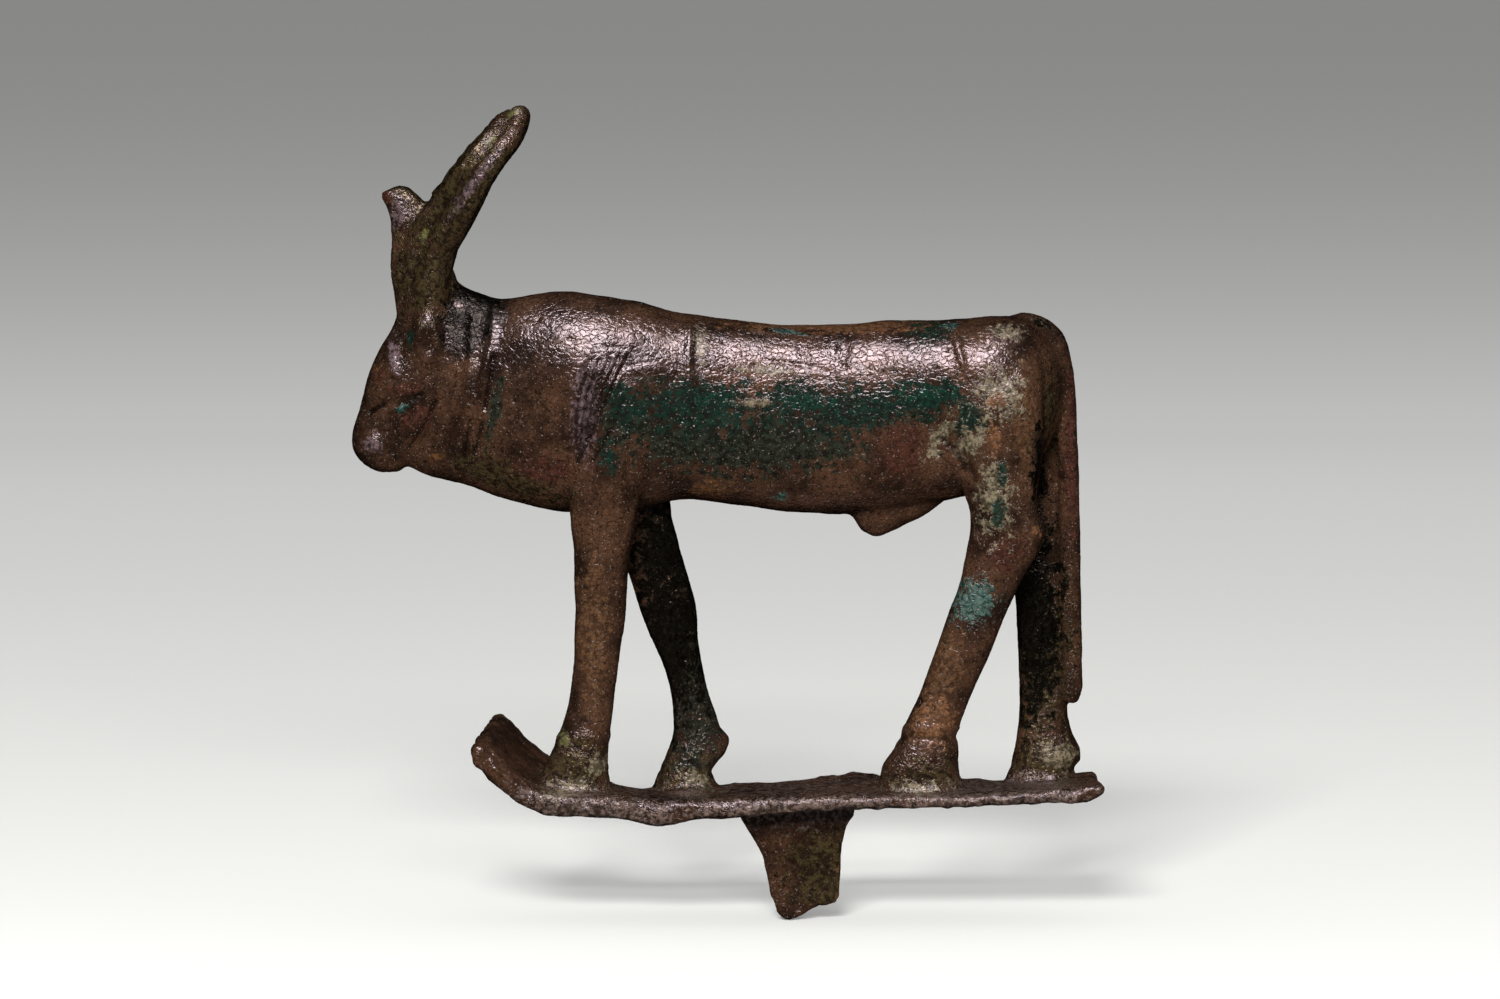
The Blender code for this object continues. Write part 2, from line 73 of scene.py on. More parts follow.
# Area lights: place, width, depth, power. The key is seen in reflections only, the others never.
KEY_LIGHT = ((-0.03, -0.36, 0.55), 0.32, 0.28, 4.3)
FILL_LIGHTS = {
    "low_front": ((0.02, -1.10, 0.29), 0.32, 0.04, 6.0),
    "high_front": ((-0.12, -1.05, 0.43), 0.26, 0.14, 15.0),
}
BACK_LIGHT = ((0.20, 1.05, 0.40), 0.40, 0.30, 13.0)
WORLD_LIGHT = 0.34

# Strokes in the side view: side, half width, height, then points (x, z).
# A groove has a height below 0.
STROKES = {
    "collar, ridge": (BOTH, 0.24, 0.34, (-34.1, 50.6), (-34.3, 49.7), (-34.5, 48.8), (-34.9, 47.4)),
    "collar, back groove": (BOTH, 0.27, -0.38, (-33.6, 50.4), (-33.8, 48.0), (-34.2, 46.4), (-34.5, 44.6)),
    "collar, lower groove": (BOTH, 0.25, -0.34, (-34.8, 43.2), (-35.3, 40.9), (-35.7, 39.6)),
    "collar, front groove": (BOTH, 0.24, -0.30, (-36.1, 43.4), (-36.6, 40.4), (-36.9, 39.4)),
    "cloth, front edge": (BOTH, 0.30, 0.05, (-12.0, 53.9), (-12.2, 50.0), (-12.0, 45.8)),
    "cloth, fold": (BOTH, 0.20, -0.11, (4.3, 51.8), (4.0, 49.8), (3.6, 47.6)),
    "cloth, second fold": (BOTH, 0.22, -0.09, (9.2, 51.0), (9.2, 48.2)),
    "cloth, lower line": (BOTH, 0.22, -0.14, (-4.2, 50.0), (0.8, 49.4), (3.6, 48.6)),
    "cloth, back edge": (BOTH, 0.22, 0.05, (16.3, 54.2), (17.0, 52.0), (17.7, 49.4)),
    "cloth, back shade": (BOTH, 0.20, -0.08, (15.9, 53.8), (16.5, 51.8), (17.2, 49.6)),
    "wing, rear quill": (BOTH, 0.17, 0.26, (-19.6, 46.3), (-20.7, 43.6), (-22.1, 41.1), (-23.2, 39.3)),
    "wing, rear shade": (BOTH, 0.25, -0.24, (-19.2, 45.8), (-20.2, 43.2), (-21.6, 40.8), (-22.7, 39.0)),
    "eye slit": (BOTH, 0.24, -0.28, (-47.1, 44.1), (-46.3, 44.7), (-45.6, 45.0)),
    "lower lid": (BOTH, 0.25, 0.22, (-46.8, 43.7), (-45.5, 44.3), (-44.4, 44.6)),
    "eye corner": (BOTH, 0.24, -0.28, (-42.4, 45.7), (-41.5, 46.2)),
    "brow": (BOTH, 0.60, 0.26, (-45.2, 52.4), (-44.8, 50.4), (-44.0, 48.2)),
    "jaw": (BOTH, 0.28, -0.28, (-39.9, 45.4), (-41.2, 42.9), (-42.9, 40.2)),
    "mouth": (BOTH, 0.22, -0.20, (-47.4, 39.0), (-46.0, 39.3), (-44.4, 39.8)),
    "disc lip": (BOTH, 0.22, -0.28, (-36.1, 73.2), (-37.9, 70.9), (-39.2, 68.9)),
    "thigh crease": (NEAR, 0.35, -0.30, (15.2, 41.6), (16.8, 40.2), (18.0, 38.2)),
    "thigh scar": (NEAR, 0.20, -0.20, (15.0, 39.8), (16.8, 38.2)),
    "thigh crack": (NEAR, 0.22, -0.22, (17.8, 40.0), (18.9, 37.4), (19.6, 34.4)),
}

# How far strokes stray from their line, and how unevenly they are worn
STROKE_WANDER = 0.10
WANDER_SIZE = 1.3
WEAR_MIDDLE = 0.85
WEAR_SPREAD = 0.5
WEAR_SIZE = 1.9

# Feathers cut into the shoulder, and finer quills above them: first and last line, from the top down (x, z)
FEATHERS = 5
FEATHER_WIDTH = 0.21
FEATHER_DEPTH = -0.32
FEATHER_FIRST = ((-22.9, 50.0), (-24.1, 46.4), (-24.5, 42.6), (-24.2, 38.8))
FEATHER_LAST = ((-18.7, 50.6), (-20.4, 47.4), (-21.9, 44.2), (-23.0, 41.4))
QUILLS = 4
QUILL_DEPTH = -0.11
QUILL_FIRST = ((-21.6, 51.5), (-19.6, 51.4), (-17.4, 51.0))
QUILL_LAST = ((-18.9, 49.4), (-17.2, 49.8), (-15.4, 49.9))

# Lumps and hollows anywhere on the skin: x, y, z, radius, height
LUMPS = {
    "near elbow": (-19.0, -7.0, 41.2, 1.0, 0.35),
    "near elbow, upper": (-17.4, -7.0, 40.0, 0.8, 0.25),
    "near hock": (25.4, -5.0, 31.2, 1.2, 0.30),
    "far dewclaw": (-8.2, 4.6, 7.7, 0.8, 0.35),
    "plate bump": (6.0, 9.8, 3.8, 1.2, 0.35),
    "plate bump, rear": (18.2, 9.8, 3.4, 0.9, 0.30),
    "near lip": (-46.8, -3.0, 40.6, 1.1, 0.35),
    "far lip": (-46.8, 3.0, 40.6, 1.1, 0.35),
    "near nostril": (-47.6, -2.2, 40.4, 0.45, -0.25),
    "far nostril": (-47.6, 2.2, 40.4, 0.45, -0.25),
}

# Rings round the legs: x of the leg's middle, z, side, reach in x, half width, height
RINGS = {
    "near hind fetlock": (14.4, 8.6, NEAR, 5.0, 0.40, -0.14),
    "near hind fetlock, upper": (14.7, 9.6, NEAR, 5.0, 0.40, 0.12),
    "near hind coronet": (13.0, 4.4, NEAR, 6.0, 0.40, -0.10),
    "near fore coronet": (-24.6, 4.6, NEAR, 6.0, 0.45, -0.08),
    "near fore fetlock": (-23.3, 8.6, NEAR, 4.5, 0.50, 0.14),
    "far fore coronet": (-12.4, 4.2, FAR, 5.5, 0.40, -0.10),
    "far hind coronet": (27.0, 4.6, FAR, 6.0, 0.40, -0.10),
}

# Roughness of the casting: size of the waves, height, stretch along x, stretch along z
CAST_WAVES = (
    (4.0, 0.13, 1.0, 1.0),
    (1.7, 0.050, 1.2, 1.0),
    (0.80, 0.014, 1.4, 1.0),
    (0.50, 0.006, 1.2, 1.0),
)
PIT_SIZE = 1.2
PIT_DEPTH = 0.18
CRACKLE_SIZE = 0.70
CRACKLE_DEPTH = 0.030
TORN_SIZE = 1.3
TORN_HEIGHT = 0.30
PLATE_HALF_WIDTH = 8.6
PLATE_ENDS = (-31.5, 30.5)
PLATE_TOP = 12.0
TANG_TORN = (7.5, 10.0)
DISC_MIDDLE = (-35.8, 71.7)
DISC_LEAN = math.radians(40.0)
DISC_LOW = 68.0

# Patches of corrosion, and of painted shade, shadow and highlight, in the side view: x, z, half length,
# half height, lean in degrees, side
PATCHES = {
    "olive": (
        (-38.0, 69.0, 12.0, 9.5, 0, BOTH),
        (-41.0, 59.0, 4.5, 5.5, 0, BOTH),
        (27.4, 43.0, 1.2, 7.0, 0, BOTH),
        (26.5, 18.0, 4.0, 14.0, 0, FAR),
        (-32.0, 37.0, 7.0, 2.0, -20, BOTH),
        (3.0, -6.0, 5.0, 6.0, 0, BOTH),
        (-24.6, 4.8, 5.0, 4.4, 0, NEAR),
        (13.2, 4.2, 5.0, 2.8, 0, NEAR),
        (-12.6, 4.4, 4.8, 4.0, 0, FAR),
        (27.0, 5.0, 4.6, 4.6, 0, FAR),
    ),
    "tan": (
        (24.4, 44.0, 1.8, 7.0, 0, NEAR),
        (15.4, 16.0, 2.6, 5.6, -22, NEAR),
        (-22.6, 20.0, 2.0, 10.0, 0, NEAR),
    ),
    "grey_green": (
        (-3.5, 40.4, 13.4, 3.6, 2, NEAR),
        (-18.2, 44.0, 4.4, 4.2, 0, NEAR),
        (-3.0, 40.8, 13.0, 3.8, 0, BOTH),
        (-12.0, 41.0, 7.5, 3.6, 0, BOTH),
        (-19.5, 43.0, 3.0, 4.0, 20, NEAR),
        (-12.0, 17.0, 6.0, 17.0, 0, FAR),
        (-33.4, 44.6, 1.0, 4.0, -10, NEAR),
    ),
    "green": (
        (7.2, 44.8, 13.0, 3.2, 3, NEAR),
        (13.0, 46.0, 6.0, 2.4, 4, NEAR),
        (-1.0, 45.6, 5.0, 2.6, 0, NEAR),
        (-11.0, 45.0, 9.0, 3.6, 0, NEAR),
        (14.0, 52.9, 3.0, 1.7, 0, NEAR),
        (18.5, 43.2, 2.6, 3.0, 0, NEAR),
        (-19.2, 45.0, 1.8, 3.2, 25, NEAR),
        (-21.0, 39.5, 1.3, 2.6, 10, NEAR),
        (-42.6, 52.4, 0.5, 1.2, 0, NEAR),
        (-13.0, 27.0, 3.0, 6.0, 20, FAR),
        (-4.0, 46.0, 9.0, 3.0, 0, FAR),
        (14.0, 50.0, 5.0, 2.0, 0, FAR),
    ),
    # Painted highlights and sheen in light lilac: the shoulder wing, the horn ridge, the headdress front,
    # the brow and the muzzle.
    "painted_highlight": (
        (-23.5, 44.8, 1.7, 6.2, 0, BOTH),
        (-21.8, 49.8, 2.4, 1.2, 0, BOTH),
        (-35.6, 69.2, 5.2, 0.7, 55, BOTH),
        (-44.0, 65.8, 1.4, 1.8, 0, BOTH),
        (-44.4, 50.2, 0.7, 2.6, 10, BOTH),
        (-46.9, 40.6, 1.3, 1.0, 0, BOTH),
    ),
    "emerald": (
        (0.6, 45.3, 3.4, 1.1, 0, NEAR),
        (13.7, 46.2, 4.4, 1.3, 4, NEAR),
        (-9.0, 45.6, 2.6, 0.9, 0, NEAR),
        (12.4, 53.6, 4.4, 1.0, 0, NEAR),
    ),
    # Painted shadow of the headdress on the nape, near black.
    "painted_nape_shadow": (
        (-35.4, 55.8, 4.0, 2.9, -28, NEAR),
        (-36.6, 53.6, 3.4, 4.0, 0, NEAR),
    ),
    # Painted shade on the far legs, which lie in the body's shadow, and beside the tail between thigh and
    # tail.
    "painted_shade": (
        (-14.0, 20.0, 6.0, 14.0, 0, FAR),
        (-14.6, 28.0, 5.0, 8.0, 0, FAR),
        (25.6, 22.0, 4.0, 14.0, 0, FAR),
        (26.6, 53.8, 1.3, 0.6, -20, BOTH),
        (26.2, 38.0, 1.2, 6.0, 0, BOTH),
    ),
    "red": (
        (4.6, 53.6, 11.0, 1.1, 0, BOTH),
        (-45.6, 67.7, 0.8, 1.2, 0, BOTH),
        (-46.4, 48.4, 1.2, 1.2, 0, BOTH),
        (-43.2, 46.8, 2.4, 0.8, 10, BOTH),
        (-41.6, 43.4, 2.4, 1.5, 30, BOTH),
        (22.5, 29.0, 2.4, 2.4, 0, NEAR),
        (11.0, 40.2, 3.2, 3.6, 0, NEAR),
        (29.9, 40.0, 0.8, 12.0, 0, BOTH),
        (-28.0, 38.0, 4.0, 1.8, 0, NEAR),
    ),
    "ochre": (
        (-39.9, 39.2, 1.2, 0.5, 0, BOTH),
        (-9.9, 35.9, 3.0, 0.9, 0, BOTH),
        (-46.6, 49.0, 0.7, 0.6, 0, NEAR),
        (4.6, -8.0, 0.6, 4.0, 0, BOTH),
    ),
    "lime": (
        (-41.1, 63.4, 0.5, 1.0, -20, BOTH),
        (-33.9, 73.6, 0.8, 1.0, 0, NEAR),
        (-31.4, 76.9, 1.3, 0.6, 20, BOTH),
        (-25.8, 8.6, 0.8, 1.1, 0, NEAR),
    ),
    "dust": (
        (-22.0, 0.0, 12.0, 3.6, -6, BOTH),
        (2.0, 0.8, 18.0, 2.6, 2, BOTH),
        (22.0, 1.6, 13.0, 2.6, 2, BOTH),
    ),
    "crust": (
        (-11.0, 51.8, 0.9, 2.1, 0, NEAR),
        (-3.4, 48.8, 2.8, 0.8, -6, NEAR),
        (-5.0, 45.4, 2.6, 0.5, 0, NEAR),
        (21.7, 46.2, 2.9, 3.3, 0, NEAR),
        (15.4, 41.8, 1.1, 3.4, -28, NEAR),
        (18.6, 41.2, 1.5, 2.4, -35, NEAR),
        (21.2, 34.8, 2.2, 4.8, 0, NEAR),
        (22.8, 53.0, 1.8, 0.9, 0, NEAR),
        (-25.8, 3.2, 2.8, 1.2, 20, NEAR),
        (-22.0, 5.6, 1.6, 1.4, 0, NEAR),
        (-11.6, 3.4, 2.4, 1.0, -15, FAR),
        (28.0, 6.0, 2.6, 1.6, 0, FAR),
        (13.0, 3.2, 3.4, 0.8, 0, NEAR),
        (-6.0, 48.0, 3.0, 1.6, 0, FAR),
        (20.0, 42.0, 3.0, 3.0, 0, FAR),
    ),
    "over_crust": (
        (21.5, 33.2, 1.0, 1.9, 0, NEAR),
        (22.0, 37.6, 0.6, 2.0, 0, NEAR),
    ),
    "rust": (
        (21.4, 45.6, 1.5, 1.0, 0, NEAR),
        (21.0, 41.4, 0.9, 2.2, 0, NEAR),
        (3.0, 53.6, 12.0, 0.9, 0, BOTH),
        (14.5, 10.5, 2.4, 3.4, -22, NEAR),
        (25.8, 31.2, 0.7, 0.7, 0, NEAR),
    ),
    "turquoise": (
        (18.7, 23.7, 2.9, 2.9, 20, NEAR),
        (-43.4, 44.8, 1.0, 0.5, 30, NEAR),
        (16.5, 53.6, 1.3, 0.4, 5, NEAR),
        (-2.2, 35.0, 1.2, 0.5, 0, NEAR),
        (-1.6, 53.0, 2.6, 0.3, -8, NEAR),
        (-10.0, 40.0, 1.2, 0.9, 0, FAR),
    ),
}

# Look of each patch: colour, second colour, ragged edge, speckle, roughness
LAYERS = {
    "olive": ((0.092, 0.064, 0.026), (0.034, 0.020, 0.011), 2.4, 1.6, 0.26),
    "tan": ((0.092, 0.045, 0.021), (0.048, 0.023, 0.011), 2.4, 1.2, 0.24),
    "grey_green": ((0.019, 0.023, 0.015), (0.009, 0.009, 0.006), 2.4, 1.2, 0.20),
    # Painted highlight: light lilac that stands in for gloss.
    "painted_highlight": ((0.115, 0.076, 0.080), (0.032, 0.020, 0.019), 1.8, 2.6, 0.24),
    "green": ((0.006, 0.022, 0.015), (0.008, 0.011, 0.008), 2.4, 1.4, 0.20),
    "emerald": ((0.005, 0.028, 0.018), (0.006, 0.017, 0.012), 2.4, 1.6, 0.20),
    # Painted shade, dark.
    "painted_shade": ((0.022, 0.017, 0.012), (0.040, 0.034, 0.022), 2.0, 1.4, 0.24),
    # Painted shadow, near black, with its gloss dimmed.
    "painted_nape_shadow": ((0.006, 0.005, 0.004), (0.018, 0.014, 0.010), 1.0, 1.0, 0.34),
    "red": ((0.058, 0.021, 0.013), (0.034, 0.014, 0.009), 2.2, 1.4, 0.22),
    "ochre": ((0.110, 0.048, 0.017), (0.056, 0.025, 0.010), 2.4, 1.4, 0.25),
    "lime": ((0.110, 0.105, 0.030), (0.045, 0.036, 0.016), 2.0, 1.8, 0.35),
    "dust": ((0.130, 0.088, 0.070), (0.034, 0.022, 0.017), 2.0, 2.4, 0.34),
    "crust": ((0.180, 0.145, 0.090), (0.055, 0.044, 0.024), 2.6, 2.0, 0.32),
    "over_crust": ((0.008, 0.030, 0.020), (0.014, 0.018, 0.011), 1.6, 1.4, 0.30),
    "rust": ((0.150, 0.066, 0.028), (0.078, 0.036, 0.016), 2.0, 1.8, 0.30),
    "turquoise": ((0.060, 0.110, 0.090), (0.006, 0.032, 0.026), 1.8, 2.4, 0.35),
}

# Bronze between the patches, and the grain of its skin in millimetres
BASE_DARK = (0.016, 0.008, 0.005)
BASE_WARM = (0.073, 0.034, 0.018)
BASE_LIGHT = (0.220, 0.180, 0.150)
# Near-black of the specks and cracks, also used for the painted shade in hollows and grooves.
BASE_SPECK_AND_SHADE = (0.004, 0.002, 0.001)
SKIN_GRAIN = 0.007
CRUST_GRAIN = 0.085
DOT_SIZE = 0.22
CRACK_DEPTH = 0.026
CRACK_SIZE = 0.62
CRACK_WANDER = 1.4
CRACK_STRETCH = (1.5, 1.0, 1.0)
GRAINY = ("olive", "dust", "crust", "turquoise")

# How metallic the bare skin and the patches are. The olive patches and the dark patches of painted shade
# and painted shadow are metallic, as that dims their gloss.
SKIN_METALLIC = 0.15
PATCH_METALLIC = 0.1
DIMMED = {"olive": 0.6, "painted_shade": 0.9, "painted_nape_shadow": 0.85}
SKIN_ROUGHNESS = (0.21, 0.29)
SKIN_IOR = 1.85
SKIN_TINT = (1.0, 0.82, 0.88, 1.0)


def ramp(value, low, high):
    """Smooth step from 0 at low to 1 at high."""
    share = np.clip((value - low) / (high - low), 0.0, 1.0)
    return share * share * (3.0 - 2.0 * share)


def coordinates(mesh, kind="co"):
    values = np.empty(len(mesh.vertices) * 3)
    mesh.vertices.foreach_get(kind, values)
    return values.reshape(-1, 3)


def place(mesh, points):
    mesh.vertices.foreach_set("co", points.ravel())
    mesh.update()


def evaluated(item):
    """Mesh of an object with its modifiers applied."""
    graph = bpy.context.evaluated_depsgraph_get()
    return bpy.data.meshes.new_from_object(item.evaluated_get(graph))


def remade(mesh, kind, **settings):
    """Mesh run through one modifier."""
    item = bpy.data.objects.new("in the making", mesh)
    bpy.context.scene.collection.objects.link(item)
    step = item.modifiers.new(kind.lower(), kind)
    for name, value in settings.items():
        setattr(step, name, value)
    result = evaluated(item)
    bpy.data.objects.remove(item, do_unlink=True)
    bpy.data.meshes.remove(mesh)
    return result


def relax(mesh):
    """Fade the solid's facets: each pass evens the points inwards, then outwards, so nothing shrinks."""
    points = coordinates(mesh)
    ends = np.empty(len(mesh.edges) * 2, dtype=np.int64)
    mesh.edges.foreach_get("vertices", ends)
    first, second = ends.reshape(-1, 2).T
    count = len(points)
    degree = np.bincount(ends, minlength=count)[:, None]
    for factor in (RELAX_IN, RELAX_OUT) * RELAX_PASSES:
        total = np.empty_like(points)
        for axis in range(3):
            column = points[:, axis]
            total[:, axis] = np.bincount(first, column[second], count)
            total[:, axis] += np.bincount(second, column[first], count)
        points = points + factor * (total / degree - points)
    place(mesh, points)


def distance_to_path(x, z, path):
    """Distance in the side view from every point to a line through the path's points."""
    nearest = np.full(len(x), np.inf)
    for (x0, z0), (x1, z1) in zip(path, path[1:]):
        length = math.hypot(x1 - x0, z1 - z0)
        share = ((x - x0) * (x1 - x0) + (z - z0) * (z1 - z0)) / length**2
        share = np.clip(share, 0.0, 1.0)
        away = np.hypot(x - x0 - share * (x1 - x0), z - z0 - share * (z1 - z0))
        nearest = np.minimum(nearest, away)
    return nearest


def facing(normals, side):
    """1 where the skin faces the given side, 0 where it turns away."""
    aside = normals[:, 1] * side if side else np.abs(normals[:, 1])
    return ramp(aside, 0.1, 0.6)


def between(first, last, share):
    """Line part of the way from a first to a last line."""
    return [
        tuple(a * (1.0 - share) + b * share for a, b in zip(start, end))
        for start, end in zip(first, last)
    ]


def all_strokes():
    strokes = list(STROKES.values())
    for index in range(FEATHERS):
        line = between(FEATHER_FIRST, FEATHER_LAST, index / (FEATHERS - 1))
        strokes.append((BOTH, FEATHER_WIDTH, FEATHER_DEPTH, *line))
    for index in range(QUILLS):
        line = between(QUILL_FIRST, QUILL_LAST, index / (QUILLS - 1))
        strokes.append((BOTH, FEATHER_WIDTH, QUILL_DEPTH, *line))
    return strokes


def carving(points, normals):
    """Height of the strokes, lumps and rings at every point. Strokes wander a little and are worn."""
    x, y, z = points.T
    x = x + STROKE_WANDER * waves(points, WANDER_SIZE, offset=11.0)
    z = z + STROKE_WANDER * waves(points, WANDER_SIZE, offset=17.0)
    wear = WEAR_MIDDLE + WEAR_SPREAD * waves(points, WEAR_SIZE, offset=23.0)
    height = np.zeros(len(points))
    for side, half_width, depth, *path in all_strokes():
        away = distance_to_path(x, z, path)
        height += depth * wear * np.exp(-((away / half_width) ** 2)) * facing(normals, side)
    for lump_x, lump_y, lump_z, radius, rise in LUMPS.values():
        away = np.sqrt((x - lump_x) ** 2 + (y - lump_y) ** 2 + (z - lump_z) ** 2)
        height += rise * np.exp(-((away / radius) ** 2))
    for ring_x, ring_z, side, reach, half_width, rise in RINGS.values():
        there = ramp(reach - np.abs(x - ring_x), 0.0, 1.0) * (y * side > 0.0)
        height += rise * np.exp(-(((z - ring_z) / half_width) ** 2)) * there
    return height


def waves(points, size, stretch_x=1.0, stretch_z=1.0, offset=0.0):
    """Smooth random waves between about -1 and 1."""
    places = points / np.array((size * stretch_x, size, size * stretch_z)) + offset
    return np.array([noise.noise(place) for place in places.tolist()])


def cells(points, size):
    """Distance to the nearest and to the second nearest of random points, in cell sizes."""
    found = [noise.voronoi(place)[0][:2] for place in (points / size).tolist()]
    return np.array(found).T


def casting(points):
    """Roughness of the cast skin: waves, pits, a crackled face, and torn edges."""
    x, y, z = points.T
    height = np.zeros(len(points))
    for size, rise, stretch_x, stretch_z in CAST_WAVES:
        height += rise * waves(points, size, stretch_x, stretch_z)
    nearest, _second = cells(points, PIT_SIZE)
    height -= PIT_DEPTH * ramp(0.34 - nearest, 0.0, 0.25) * ramp(waves(points, 3.0, offset=7.3), 0.1, 0.4)
    nearest, second = cells(points, CRACKLE_SIZE)
    height -= CRACKLE_DEPTH * ramp(0.16 - (second - nearest), 0.0, 0.16)
    past_end = np.maximum(x - PLATE_ENDS[1], PLATE_ENDS[0] - x)
    past_edge = np.maximum(np.abs(y) - PLATE_HALF_WIDTH, past_end)
    plate_edge = ramp(past_edge, 0.0, 1.2) * (z < PLATE_TOP)
    tang_end = ramp(-z, *TANG_TORN)
    forward = (z - DISC_MIDDLE[1]) * math.sin(DISC_LEAN) - (x - DISC_MIDDLE[0]) * math.cos(DISC_LEAN)
    disc_edge = ramp(forward, 0.3, 1.1) * (z > DISC_LOW)
    torn = np.maximum(np.maximum(plate_edge, tang_end), disc_edge)
    height += TORN_HEIGHT * torn * waves(points, TORN_SIZE, offset=3.1)
    return height


def patch_field(points, patches):
    """1 in the middle of a patch, 0 at its edge and below 0 outside it; the highest of all patches."""
    x, y, z = points.T
    field = np.full(len(points), -1.0)
    for middle_x, middle_z, half_x, half_z, lean, side in patches:
        turn = math.radians(lean)
        along = (x - middle_x) * math.cos(turn) + (z - middle_z) * math.sin(turn)
        across = (z - middle_z) * math.cos(turn) - (x - middle_x) * math.sin(turn)
        here = 1.0 - np.hypot(along / half_x, across / half_z)
        if side:
            here = np.minimum(here, y * side / 2.0 + 0.5)
        field = np.maximum(field, here)
    return field


def store(mesh, name, values):
    layer = mesh.attributes.new(name, "FLOAT", "POINT")
    layer.data.foreach_set("value", values.astype(np.float32))


def cast_skin(node):
    """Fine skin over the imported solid, with its carving, its roughness and its patches."""
    mesh = node.data.copy()
    mesh.transform(Matrix.Scale(1.0 / MM, 4))
    mesh = remade(mesh, "REMESH", mode="VOXEL", voxel_size=VOXEL)
    relax(mesh)
    points = coordinates(mesh)
    normals = coordinates(mesh, "normal")
    push = carving(points, normals) + casting(points)
    place(mesh, points + normals * push[:, None])
    share = TRIANGLES / (2.0 * len(mesh.polygons))
    mesh = remade(mesh, "DECIMATE", ratio=min(1.0, share), use_collapse_triangulate=True)
    points = coordinates(mesh)
    store(mesh, "carved", carving(points, coordinates(mesh, "normal")))
    for name, patches in PATCHES.items():
        store(mesh, name, patch_field(points, patches))
    mesh.transform(Matrix.Scale(MM, 4))
    mesh.materials.clear()
    mesh.shade_smooth()
    skin = bpy.data.objects.new("cast_skin", mesh)
    bpy.context.scene.collection.objects.link(skin)
    return skin


class Nodes:
    """Short way to build a material's nodes. Inputs are numbers, colours or other nodes' outputs."""

    def __init__(self, name):
        self.material = bpy.data.materials.new(name)
        self.material.use_nodes = True
        self.tree = self.material.node_tree
        self.shader = self.tree.nodes["Principled BSDF"]
        self.place = self.add("ShaderNodeTexCoord").outputs["Object"]

    def add(self, kind, **settings):
        node = self.tree.nodes.new(kind)
        for name, value in settings.items():
            setattr(node, name, value)
        return node

    def feed(self, socket, value):
        if isinstance(value, bpy.types.NodeSocket):
            self.tree.links.new(value, socket)
        elif isinstance(value, tuple) and len(value) == 3 and socket.type == "RGBA":
            socket.default_value = (*value, 1.0)
        else:
            socket.default_value = value

    def math(self, operation, first, second=0.0, third=0.0):
        node = self.add("ShaderNodeMath", operation=operation)
        for socket, value in zip(node.inputs, (first, second, third)):
            self.feed(socket, value)
        return node.outputs["Value"]

    def step(self, value, low, high, out_low=0.0, out_high=1.0, kind="SMOOTHSTEP"):
        node = self.add("ShaderNodeMapRange", interpolation_type=kind)
        for name, given in (
            ("Value", value),
            ("From Min", low),
            ("From Max", high),
            ("To Min", out_low),
            ("To Max", out_high),
        ):
            self.feed(node.inputs[name], given)
        return node.outputs["Result"]

    def mix(self, share, first, second):
        node = self.add("ShaderNodeMix", data_type="RGBA")
        self.feed(node.inputs[0], share)
        self.feed(node.inputs[6], first)
        self.feed(node.inputs[7], second)
        return node.outputs[2]

    def blend(self, share, first, second):
        node = self.add("ShaderNodeMix", data_type="FLOAT")
        self.feed(node.inputs[0], share)
        self.feed(node.inputs[2], first)
        self.feed(node.inputs[3], second)
        return node.outputs[0]

    def grain(self, size, detail):
        """Noise from 0 to 1 with grains of a size in millimetres."""
        place = self.add("ShaderNodeVectorMath", operation="MULTIPLY")
        self.feed(place.inputs[0], self.place)
        place.inputs[1].default_value = (1.0 / (MM * size),) * 3
        node = self.add("ShaderNodeTexNoise")
        node.inputs["Scale"].default_value = 1.0
        node.inputs["Detail"].default_value = detail
        self.feed(node.inputs["Vector"], place.outputs[0])
        return node.outputs["Fac"]

    def edges(self, size, wander, stretch):
        """Distance to the nearest edge of random cells of a size in millimetres, bent by a noise."""
        noise_node = self.add("ShaderNodeTexNoise")
        noise_node.inputs["Scale"].default_value = 1.0 / (MM * size)
        noise_node.inputs["Detail"].default_value = 2.0
        self.feed(noise_node.inputs["Vector"], self.place)
        bend = self.add("ShaderNodeVectorMath", operation="MULTIPLY_ADD")
        self.feed(bend.inputs[0], noise_node.outputs["Color"])
        bend.inputs[1].default_value = (MM * size * wander,) * 3
        self.feed(bend.inputs[2], self.place)
        place = self.add("ShaderNodeVectorMath", operation="MULTIPLY")
        self.feed(place.inputs[0], bend.outputs[0])
        place.inputs[1].default_value = tuple(1.0 / share for share in stretch)
        node = self.add("ShaderNodeTexVoronoi", feature="DISTANCE_TO_EDGE")
        node.inputs["Scale"].default_value = 1.0 / (MM * size)
        self.feed(node.inputs["Vector"], place.outputs[0])
        return node.outputs["Distance"]

    def painted(self, name):
        return self.add("ShaderNodeAttribute", attribute_name=name).outputs["Fac"]

    def bump(self, height):
        """Bumps of a height in millimetres."""
        node = self.add("ShaderNodeBump")
        node.inputs["Strength"].default_value = 1.0
        node.inputs["Distance"].default_value = MM
        self.feed(node.inputs["Height"], height)
        return node.outputs["Normal"]


